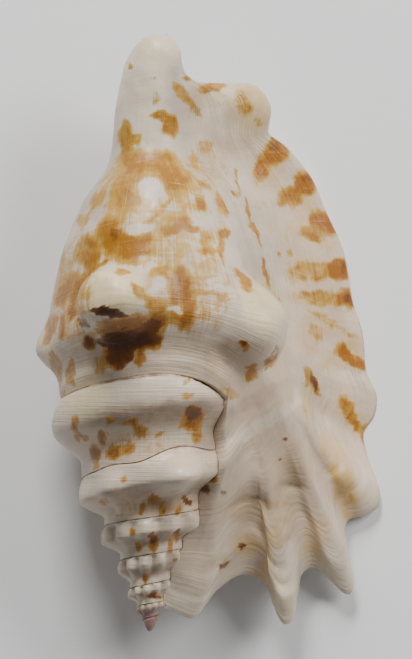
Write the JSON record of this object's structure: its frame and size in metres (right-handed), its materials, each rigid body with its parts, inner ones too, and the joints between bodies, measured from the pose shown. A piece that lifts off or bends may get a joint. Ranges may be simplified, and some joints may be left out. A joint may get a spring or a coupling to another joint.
{
  "type": "conch shell",
  "caption": "Laciniate conch seashell with a pointed stepped spire, a knobbed back, a short upturned canal and a broad flared outer lip that ends in blunt fingers.",
  "frame": {"origin": "centre of the bounding box at the level the shell rests on", "axes": "+Y along the coiling axis from the apex to the siphonal canal, +X to the outer lip, +Z out of the back"},
  "size_m": [0.0664, 0.1148, 0.0462],
  "materials": {
    "shell": "semi-gloss shell aragonite, off-white with ochre to chestnut blotches and a pinkish cream lip"
  },
  "bodies": {
    "root": {"shell": "shell"}
  },
  "joints": []
}
